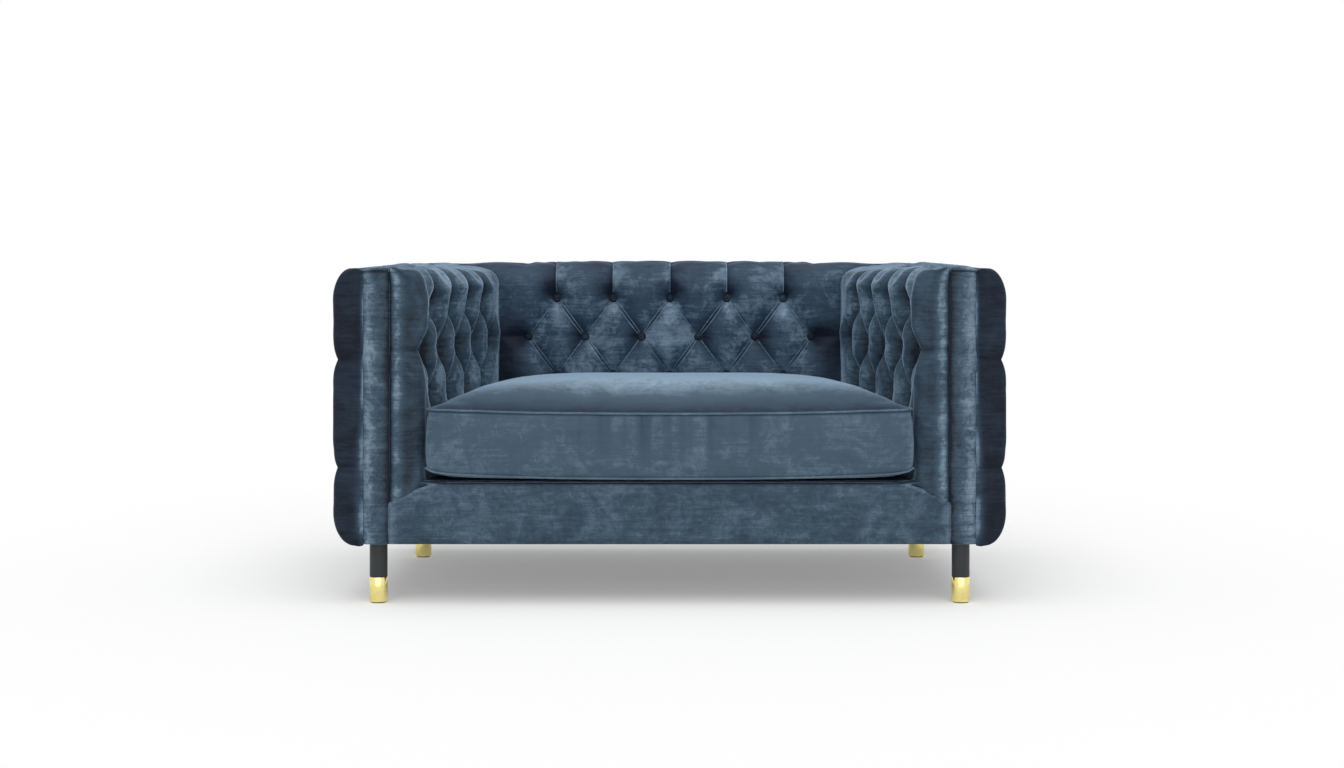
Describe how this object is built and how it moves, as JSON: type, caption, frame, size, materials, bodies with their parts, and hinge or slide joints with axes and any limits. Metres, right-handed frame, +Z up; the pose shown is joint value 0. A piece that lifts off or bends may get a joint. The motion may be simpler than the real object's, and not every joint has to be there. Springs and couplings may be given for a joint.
{
  "type": "chesterfield sofa",
  "caption": "Square-armed chesterfield loveseat in slate blue velvet with deep diamond buttoning, a loose bench cushion and round black legs with brass ferrules.",
  "frame": {"origin": "on the floor, under the middle of the sofa's overall box", "axes": "+X along the sofa's width, +Y from the front to the back, +Z up; the seat faces -Y"},
  "size_m": [1.5, 0.85, 0.756],
  "materials": {
    "velvet": "slate blue crushed velvet with a soft sheen",
    "button_velvet": "slate blue velvet pulled tight over a button",
    "piping_velvet": "slate blue velvet sewn round a cord",
    "foam": "open-cell upholstery foam, matt",
    "lining": "black non-woven lining, matt",
    "frame_timber": "planed hardwood, unfinished",
    "plywood": "sanded plywood, unfinished",
    "dowel_timber": "fluted beech, unfinished",
    "fixing_steel": "zinc-plated steel",
    "spring_steel": "black oiled spring steel",
    "leg_lacquer": "charcoal black satin lacquer on turned hardwood",
    "brass": "polished brass",
    "glide_plastic": "black nylon",
    "zip_tape": "dark woven tape and nylon chain",
    "zip_metal": "nickel-plated"
  },
  "bodies": {
    "sofa": {"arm_border_left": "velvet", "arm_border_right": "velvet", "arm_bottom_rail_left": "frame_timber", "arm_bottom_rail_right": "frame_timber", "arm_front_post_left": "frame_timber", "arm_front_post_right": "frame_timber", "arm_inner_panel_left": "plywood", "arm_inner_panel_right": "plywood", "arm_outer_panel_left": "plywood", "arm_outer_panel_right": "plywood", "arm_rear_post_left": "frame_timber", "arm_rear_post_right": "frame_timber", "arm_tack_rails": "frame_timber", "arm_top_rail_left": "frame_timber", "arm_top_rail_right": "frame_timber", "back_border": "velvet", "back_bottom_rail": "frame_timber", "back_inner_panel": "plywood", "back_outer_panel": "plywood", "back_posts": "frame_timber", "back_top_rail": "frame_timber", "corner_blocks": "frame_timber", "deck_cloth": "lining", "deck_pad": "foam", "dust_cover": "lining", "frame_bolts": "fixing_steel", "frame_dowels": "dowel_timber", "frame_nuts": "fixing_steel", "front_border": "velvet", "front_rail": "frame_timber", "inside_arm_buttons_left": "button_velvet", "inside_arm_buttons_right": "button_velvet", "inside_arm_pad_left": "velvet", "inside_arm_pad_right": "velvet", "inside_back_buttons": "button_velvet", "inside_back_pad": "velvet", "leg_ferrules": "brass", "leg_glides": "glide_plastic", "leg_hanger_bolts": "fixing_steel", "leg_plate_screws": "fixing_steel", "leg_plates": "fixing_steel", "leg_shafts": "leg_lacquer", "outside_arm_buttons_left": "button_velvet", "outside_arm_buttons_right": "button_velvet", "outside_arm_pad_left": "velvet", "outside_arm_pad_right": "velvet", "outside_back_buttons": "button_velvet", "outside_back_pad": "velvet", "rear_rail": "frame_timber", "seat_stretchers": "frame_timber", "side_rail_left": "frame_timber", "side_rail_right": "frame_timber", "spring_clips": "fixing_steel", "zigzag_springs": "spring_steel"},
    "seat_cushion": {"seat_cushion_cover": "velvet", "seat_cushion_core": "foam", "seat_cushion_piping": "piping_velvet", "cushion_zip": "zip_tape"},
    "zip_slider": {"zip_slider": "zip_metal"}
  },
  "joints": [
    {"name": "cushion_lift", "type": "slide", "parent": "sofa", "child": "seat_cushion", "axis": [0, 0, 1], "range_m": [0, 0.5]},
    {"name": "zip_slide", "type": "slide", "parent": "seat_cushion", "child": "zip_slider", "axis": [1, 0, 0], "range_m": [0, 0.547]}
  ]
}
